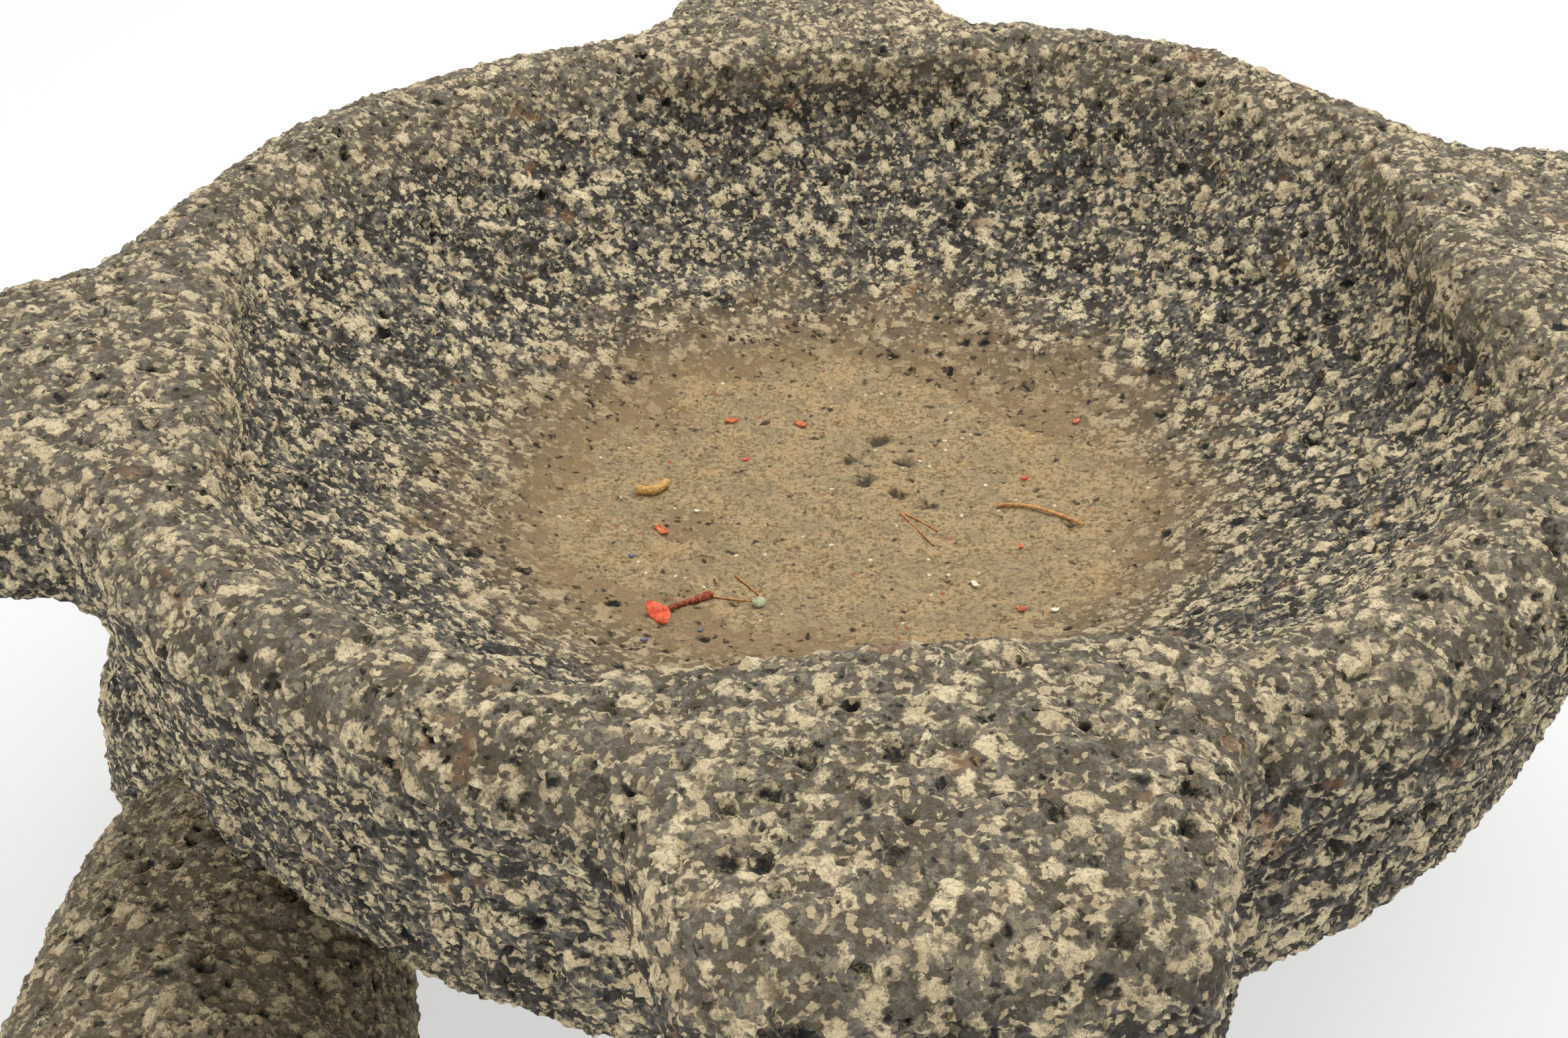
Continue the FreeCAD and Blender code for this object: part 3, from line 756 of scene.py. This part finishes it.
def cut_flake(name, length, width, thickness, outline, curl):
    """A grid narrowed, shifted and lifted column by column, and given thickness."""
    clear_selection()
    columns = len(outline) - 1
    bpy.ops.mesh.primitive_grid_add(x_subdivisions=columns, y_subdivisions=4, size=1)
    flake = bpy.context.object
    flake.scale = (length, width, 1)
    settle(flake, name)
    for column, (share, sideways) in enumerate(outline):
        x = length * (column / columns - 0.5)
        bpy.ops.object.mode_set(mode="OBJECT")
        for vertex in flake.data.vertices:
            vertex.select = abs(vertex.co.x - x) < 0.01 * length
        for edge in flake.data.edges:
            edge.select = False
        for face in flake.data.polygons:
            face.select = False
        bpy.ops.object.mode_set(mode="EDIT")
        bpy.ops.mesh.select_mode(type="VERT")
        bpy.ops.transform.resize(value=(1, share, 1), center_override=(x, 0, 0))
        bend = curl * (2 * column / columns - 1) ** 2
        bpy.ops.transform.translate(value=(0, sideways * width, bend))
    bpy.ops.object.mode_set(mode="OBJECT")
    finish_modifier(flake, "SOLIDIFY", thickness=thickness, offset=0)
    finish_modifier(flake, "SUBSURF", levels=2, render_levels=2)
    move_surface(flake, name + "_wrinkles", wrinkle(1.1 * MM, 0.9 * thickness))
    return flake


def lay_down(thing, x, y, lift, turn, tip=0, lean=0):
    """Turns a scrap made at the origin and lays it on the ground under its place."""
    thing.rotation_euler = [math.radians(angle) for angle in (lean, tip, turn)]
    thing.location = (x, y, ground_under(x, y) + lift)
    return settle(thing, thing.name)


# %% [markdown]
# Colour: the groundmass is nearly black to ash grey, in flecks, in fine grains and in wider
# patches. The crystals are cream, and each has its own shade. Pits are dark, because little light
# gets out of them, and the dents of the peck marks are darkened as painted shade. The rim and the
# lugs carry a pale dust that is partly painted light, and the bowl carries a brown smear round the
# cake. All of this is one node group, and each stone is given its own amounts of dust and painted
# light, and of smear.

# %% Colours


def paint(red, green, blue):
    """A colour as a screen shows it, from 0 to 255, turned into light."""
    return [((value / 255 + 0.055) / 1.055) ** 2.4 for value in (red, green, blue)] + [1]


INK = paint(20, 21, 24)
SLATE = paint(82, 82, 83)
ASH = paint(144, 133, 112)
CREAM = paint(248, 230, 188)
BONE = paint(218, 198, 156)
PALE_DUST_AND_LIGHT = paint(174, 154, 120)
PIT_SHADE = paint(20, 19, 19)
RUST = paint(150, 104, 66)
SMEAR = paint(158, 132, 92)


def new_group(name, inputs, outputs):
    """A shader group with named inputs and outputs, and a board to lay nodes on."""
    tree = bpy.data.node_groups.new(name, "ShaderNodeTree")
    for label, kind, value in inputs:
        socket = tree.interface.new_socket(label, in_out="INPUT", socket_type=kind)
        if value is not None:
            socket.default_value = value
    for label, kind in outputs:
        tree.interface.new_socket(label, in_out="OUTPUT", socket_type=kind)
    return tree, Board(tree), tree.nodes.new("NodeGroupInput"), tree.nodes.new("NodeGroupOutput")


def build_basalt():
    tree, board, entry, leave = new_group(
        "basalt",
        [
            ("Point", "NodeSocketVector", None),
            ("Dust and Light", "NodeSocketFloat", 0.2),
            ("Smear", "NodeSocketFloat", 0.0),
            ("Smear Color", "NodeSocketColor", SMEAR),
        ],
        [("Color", "NodeSocketColor"), ("Height", "NodeSocketFloat"), ("Roughness", "NodeSocketFloat")],
    )
    point, dust_and_light, smear, smear_color = entry.outputs[:4]
    crystal, shade = find_crystals(board, point)
    wide = find_pits(board, point, "wide")
    fine = find_pits(board, point, "fine")
    pecks = find_pecks(board, point)
    fleck = board.noise(point, 0.55 * MM, detail=3, roughness=0.75)
    grit = find_grit(board, point)
    patch = board.smooth(board.noise(point, 4.5 * MM, detail=3, roughness=0.7), 0.36, 0.60)
    mixed = board.total((patch, 0.42), (grit, 0.62), (fleck, 0.9), (1.0, -0.72))
    ground = board.tint(board.smooth(mixed, 0.04, 0.40), INK, SLATE)
    ground = board.tint(board.smooth(mixed, 0.34, 0.66), ground, ASH)
    ground = board.tint(board.smooth(grit, 0.84, 0.90, 0.0, 0.8), ground, BONE)
    crystal_color = board.tint(shade, BONE, CREAM)
    crack = board.math("ABSOLUTE", board.math("SUBTRACT", board.noise(point, 1.3 * MM, detail=1), 0.5))
    crystal_color = board.tint(board.smooth(crack, 0.03, 0.0, 0.0, 0.55), crystal_color, SLATE)
    crystal_color = board.tint(board.smooth(fleck, 0.46, 0.34, 0.0, 0.7), crystal_color, SLATE)
    crystal_color = board.tint(board.smooth(grit, 0.25, 0.15, 0.0, 0.35), crystal_color, ASH)
    color = board.tint(crystal, ground, crystal_color)
    # painted shade: the low dents of the peck marks are darkened towards ink
    color = board.tint(board.smooth(pecks, -0.03, -0.16, 0.0, 0.7), color, INK)
    rust = board.smooth(board.noise(point, 6 * MM, detail=2), 0.66, 0.74, 0.0, 0.5)
    color = board.tint(rust, color, RUST)
    # pale dust that also carries painted light: the mortar's top and the whole tejolote are made paler
    # than dust alone would make them
    dust_and_light_film = board.math("MULTIPLY", dust_and_light, board.smooth(fleck, 0.3, 0.6, 0.6, 1.0))
    color = board.tint(dust_and_light_film, color, PALE_DUST_AND_LIGHT)
    color = board.tint(smear, color, smear_color)
    hollow = board.math("MAXIMUM", wide, board.math("MULTIPLY", fine, 0.85))
    color = board.tint(hollow, color, PIT_SHADE)
    board.feed(leave.inputs["Color"], color)
    height = board.total((wide, -0.8), (fine, -0.7), (crystal, 0.25), (fleck, 0.9))
    board.feed(leave.inputs["Height"], height)
    board.feed(leave.inputs["Roughness"], board.total((crystal, -0.12), (0.9, 1.0)))
    return tree


basalt = build_basalt()


def new_material(name):
    material = bpy.data.materials.new(name)
    material.use_nodes = True
    board = Board(material.node_tree)
    shader = material.node_tree.nodes["Principled BSDF"]
    coordinates = board.add("ShaderNodeTexCoord")
    return material, board, shader, coordinates.outputs["Object"]


def bump(board, shader, height, distance):
    node = board.add("ShaderNodeBump")
    node.inputs["Distance"].default_value = distance
    board.feed(node.inputs["Height"], height)
    board.feed(shader.inputs["Normal"], node.outputs[0])


def stone_material(name, dust_and_light_of, smear_of):
    """A material of basalt, with dust and painted light, and smear, laid out by the two functions."""
    material, board, shader, point = new_material(name)
    group = board.add("ShaderNodeGroup", node_tree=basalt)
    board.feed(group.inputs["Point"], point)
    board.feed(group.inputs["Dust and Light"], dust_and_light_of(board, point))
    board.feed(group.inputs["Smear"], smear_of(board, point))
    board.feed(shader.inputs["Base Color"], group.outputs["Color"])
    board.feed(shader.inputs["Roughness"], group.outputs["Roughness"])
    bump(board, shader, group.outputs["Height"], 1.0 * MM)
    return material


def mortar_dust_and_top_light(board, point):
    """Pale dust and painted light: the stone is paler towards the top, most on the rim and the lugs,
    least on the flank of the bowl.
    """
    radius, height = board.where(point)
    # painted light: the rim and lug tops are made paler, as if lit from above, along with their dust
    near_top = board.smooth(height, 86 * MM, 97 * MM)
    return board.smooth(near_top, 0.0, 1.0, 0.08, 0.30)


def mortar_smear(board, point):
    """A brown stain round the cake, which reaches no further than the bowl."""
    off_middle = board.vector("SUBTRACT", point, PASTE_MIDDLE)
    radius, height = board.where(off_middle)
    wander = board.math("SUBTRACT", board.noise(point, 13 * MM, detail=3, roughness=0.6), 0.5)
    border = board.total((radius, 1.0), (wander, 30 * MM))
    inside = board.smooth(height, 48 * MM, 52 * MM)
    return board.math("MULTIPLY", board.smooth(border, 72 * MM, 40 * MM, 0.0, 0.85), inside)


mortar_stone = stone_material("mortar_stone", mortar_dust_and_top_light, mortar_smear)
# The tejolote's dust is set high: part of its paleness is painted light, brightening the stone where it
# lies in the bowl's shade.
tejolote_stone = stone_material(
    "tejolote_stone", lambda board, point: 0.34, lambda board, point: 0.10
)


def paste_material():
    material, board, shader, point = new_material("dried_paste")
    grain = board.noise(point, 0.6 * MM, detail=3, roughness=0.75)
    blotch = board.noise(point, 6 * MM, detail=4, roughness=0.65)
    torn = ragged(board, point, 0.8 * MM, 0.7 * MM)
    speck, lots = board.cells(board.vector("SCALE", torn, 1 / (1.5 * MM)))
    spot = board.smooth(speck, 0.30, 0.16)
    grit = find_grit(board, point)
    tone = board.total((grain, 1.0), (grit, 0.22), (1.0, -0.11))
    color = board.tint(board.smooth(tone, 0.32, 0.62), paint(114, 95, 64), paint(178, 154, 114))
    color = board.tint(board.smooth(blotch, 0.44, 0.62, 0.0, 0.45), color, paint(138, 124, 94))
    color = board.tint(board.smooth(blotch, 0.46, 0.32, 0.0, 0.3), color, paint(186, 150, 98))
    dark = board.math("MULTIPLY", spot, board.math("LESS_THAN", lots[0], 0.09))
    color = board.tint(board.math("MULTIPLY", dark, 0.8), color, paint(56, 46, 34))
    pale = board.math("MULTIPLY", spot, board.math("GREATER_THAN", lots[0], 0.95))
    color = board.tint(pale, color, paint(226, 212, 176))
    red = board.math("MULTIPLY", spot, board.math("GREATER_THAN", lots[1], 0.97))
    color = board.tint(red, color, paint(170, 84, 48))
    pores = board.smooth(board.noise(point, 2.2 * MM, detail=2), 0.64, 0.74)
    pore_and_crack_shade = board.math("MAXIMUM", pores, find_cracks(board, point))
    # painted shade: the pores and cracks of the cake are darkened
    color = board.tint(board.math("MULTIPLY", pore_and_crack_shade, 0.9), color, paint(44, 38, 30))
    board.feed(shader.inputs["Base Color"], color)
    shader.inputs["Roughness"].default_value = 0.92
    bump(board, shader, board.total((grain, 1.0), (dark, -0.4), (pale, 0.3)), 0.6 * MM)
    return material


def wear_one(thing, material):
    thing.data.materials.clear()
    thing.data.materials.append(material)


for part, node in mortar_parts:
    wear_one(part, mortar_stone)
    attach(part, "root")
    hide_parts(node)
wear_one(tejolote, tejolote_stone)
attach(tejolote, "pestle")
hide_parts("tejolote")
wear_one(paste, paste_material())
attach(paste, "root")
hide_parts("residue")

# %% [markdown]
# The scraps get dry vegetable colours, each with a darker and a lighter tone that noise mixes, so
# that none of them looks moulded.

# %% Making and colouring the scraps


def dry_finish(name, low, high, grain, roughness):
    """Two tones mixed by noise, with a matching bump."""
    material, board, shader, point = new_material(name)
    tone = board.noise(point, grain, detail=3, roughness=0.7)
    board.feed(shader.inputs["Base Color"], board.tint(board.smooth(tone, 0.34, 0.66), low, high))
    shader.inputs["Roughness"].default_value = roughness
    bump(board, shader, tone, 0.3 * MM)
    return material


def bed(scrap, node, material):
    """Gives one scrap its finish and smooth shading, hangs it on the root and hides the frame's piece.
    """
    wear_one(scrap, material)
    pick(scrap)
    bpy.ops.object.shade_smooth_by_angle(angle=SCRAP_EDGE)
    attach(scrap, "root")
    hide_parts(node)
    print(scrap.name, "for", node, len(scrap.data.polygons), "faces")


red_skin = dry_finish("red_skin", paint(204, 66, 38), paint(244, 112, 72), 1.2 * MM, 0.45)
red_brown = dry_finish("red_brown_stem", paint(110, 48, 30), paint(178, 92, 56), 0.5 * MM, 0.8)
wool_tan = dry_finish("woolly_husk", paint(176, 128, 66), paint(226, 184, 116), 0.4 * MM, 0.95)
golden = dry_finish("golden_straw", paint(168, 108, 56), paint(212, 158, 96), 0.8 * MM, 0.6)
green_seed = dry_finish("pale_green_seed", paint(146, 150, 112), paint(184, 186, 146), 0.9 * MM, 0.5)
rusty = dry_finish("rusty_flake", paint(158, 70, 34), paint(222, 128, 78), 0.6 * MM, 0.75)
blue_grey = dry_finish("blue_grey_crumb", paint(70, 74, 110), paint(120, 126, 160), 0.5 * MM, 0.7)
bone_white = dry_finish("bone_white_crumb", paint(206, 196, 168), paint(240, 234, 214), 0.5 * MM, 0.7)

# how wide the flake is in each column, and how far it is shifted sideways
skin_outline = [
    (0.25, 0.28),
    (0.75, 0.16),
    (1.0, 0.05),
    (0.95, 0.0),
    (1.0, -0.05),
    (0.9, -0.14),
    (0.4, -0.30),
]
skin = cut_flake("chilli_skin_flake", 5.0 * MM, 2.9 * MM, 0.4 * MM, skin_outline, 0.5 * MM)
lay_down(skin, *middle_of("chilli_skin"), 0.9 * MM, -32, tip=-6, lean=24)
bed(skin, "chilli_skin", red_skin)

stem_places = through((-19.8, -27.2), (-22.6, -30.0), (-26.6, -34.2))
stem = lay_strand("ribbed_stem", stem_places, 0.6 * MM, thin_end=0.5)
finish_modifier(stem, "REMESH", mode="VOXEL", voxel_size=0.12 * MM)
move_surface(stem, "stem_ribs", wrinkle(0.7 * MM, 0.8 * MM))
bed(stem, "chilli_stem", red_brown)

HUSK_LOBES = (((-33.6, 0.4), (-32.4, 0.5), (-30.4, 1.4)), ((-31.2, 1.0), (-29.8, 1.9), (-28.7, 3.9)))
lobes = [lay_strand("husk_lobe", through(*places), 0.8 * MM, 0.9) for places in HUSK_LOBES]
pick(*lobes)
bpy.ops.object.join()
husk = settle(lobes[0], "husk_wool")
finish_modifier(husk, "REMESH", mode="VOXEL", voxel_size=0.14 * MM)
move_surface(husk, "husk_fluff", wrinkle(0.5 * MM, 0.5 * MM))
bed(husk, "husk_curl", wool_tan)

straw_places = through((25.2, -3.4), (30.4, -3.2), (38.2, -10.6))
straw = lay_strand("straw_strand", straw_places, 0.32 * MM, 0.8, 0.1 * MM)
bed(straw, "straw", golden)

HAIRS = (
    ((-20.2, -27.2), (-16.5, -28.3), (-12.9, -28.5)),
    ((-16.4, -21.2), (-14.2, -24.2), (-11.6, -28.4)),
    ((9.6, -4.4), (11.6, -8.2), (14.6, -13.8)),
    ((10.4, -4.8), (13.2, -7.4), (15.4, -9.6)),
)
hairs = [lay_strand("hair", through(*places), 0.18 * MM, 0.7) for places in HAIRS]
pick(*hairs)
bpy.ops.object.join()
hairs[0].name = "fine_hairs"
bed(hairs[0], "fine_fibres", golden)

clear_selection()
bpy.ops.mesh.primitive_ico_sphere_add(subdivisions=4, radius=1.1 * MM)
seed = bpy.context.object
seed.scale = (1.0, 0.86, 0.5)
settle(seed, "round_seed")
move_surface(seed, "seed_dents", wrinkle(1.6 * MM, 0.5 * MM))
lay_down(seed, *middle_of("pale_seed"), 0.5 * MM, 30, lean=18)
bed(seed, "pale_seed", green_seed)

# %% The crumbs
CRUMB_OUTLINE = [(0.3, 0.0), (0.8, 0.1), (1.0, 0.0), (0.7, -0.1), (0.35, 0.05)]
# colour, and the length, place and turn of each of its crumbs
CRUMBS = {
    "rusty_crumbs": (
        rusty,
        (
            (3.0, -28.6, -9.8, -40),
            (2.4, -19.0, 23.7, 10),
            (2.6, -6.8, 22.8, -20),
            (1.8, 40.4, 18.9, 50),
            (1.7, 26.3, -33.7, 0),
        ),
    ),
    "red_crumbs": (red_skin, ((1.3, -16.0, 11.4, 30), (1.2, 28.0, -15.5, 70), (1.3, 30.3, 4.0, 10))),
    "white_crumbs": (
        bone_white,
        ((1.8, 20.2, -25.1, -50), (1.5, 31.2, -33.9, 20), (1.2, -23.4, -4.0, 0)),
    ),
    "blue_crumbs": (
        blue_grey,
        ((1.2, -32.6, -18.0, 0), (1.0, -20.6, -38.2, 40), (1.2, -28.3, -42.7, 15)),
    ),
}
for name, (material, places) in CRUMBS.items():
    crumbs = []
    for length, x, y, turn in places:
        crumb = cut_flake(name, length * MM, 0.55 * length * MM, 0.35 * MM, CRUMB_OUTLINE, 0.25 * MM)
        crumbs.append(lay_down(crumb, x * MM, y * MM, 0.3 * MM, turn, lean=12))
    pick(*crumbs)
    bpy.ops.object.join()
    bed(crumbs[0], "crumbs", material)

# %% [markdown]
# The light is a wide soft source, high, behind and to the right, over a white surround that fills
# the shadows, with a weak fill from the front left. The floor is plain and nearly white.

# %% Floor, light and surround
bpy.ops.mesh.primitive_plane_add(size=6, location=(0, 1, 0))
table = bpy.context.object
table.name = "table_top"
table_material = bpy.data.materials.new("white_table")
table_material.use_nodes = True
table_shader = table_material.node_tree.nodes["Principled BSDF"]
table_shader.inputs["Base Color"].default_value = (0.26, 0.26, 0.26, 1)
table_shader.inputs["Emission Color"].default_value = (1, 1, 1, 1)
table_shader.inputs["Emission Strength"].default_value = 0.59
table_shader.inputs["Roughness"].default_value = 0.8
wear_one(table, table_material)



def hang_lamp(name, place, size, energy):
    """A round soft lamp that faces the mortar."""
    lamp_data = bpy.data.lights.new(name, "AREA")
    lamp_data.shape = "DISK"
    lamp_data.size = size
    lamp_data.energy = energy
    lamp = bpy.data.objects.new(name, lamp_data)
    bpy.context.scene.collection.objects.link(lamp)
    lamp.location = place
    lamp.rotation_mode = "QUATERNION"
    lamp.rotation_quaternion = (lamp.location - Vector((0, 0, 0.05))).to_track_quat("Z", "Y")


hang_lamp("soft_lamp", (0.35, 0.35, 0.8), 0.7, 6.5)
hang_lamp("fill_lamp", (-0.6, -0.6, 0.35), 0.6, 2.2)

surround = bpy.data.worlds.new("surround")
surround.use_nodes = True
surround.node_tree.nodes["Background"].inputs["Color"].default_value = (1, 1, 1, 1)
surround.node_tree.nodes["Background"].inputs["Strength"].default_value = 0.94
bpy.context.scene.world = surround
bpy.context.scene.view_settings.view_transform = "Standard"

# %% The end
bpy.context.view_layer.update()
print("all in", round(time.time() - started, 1), "s")
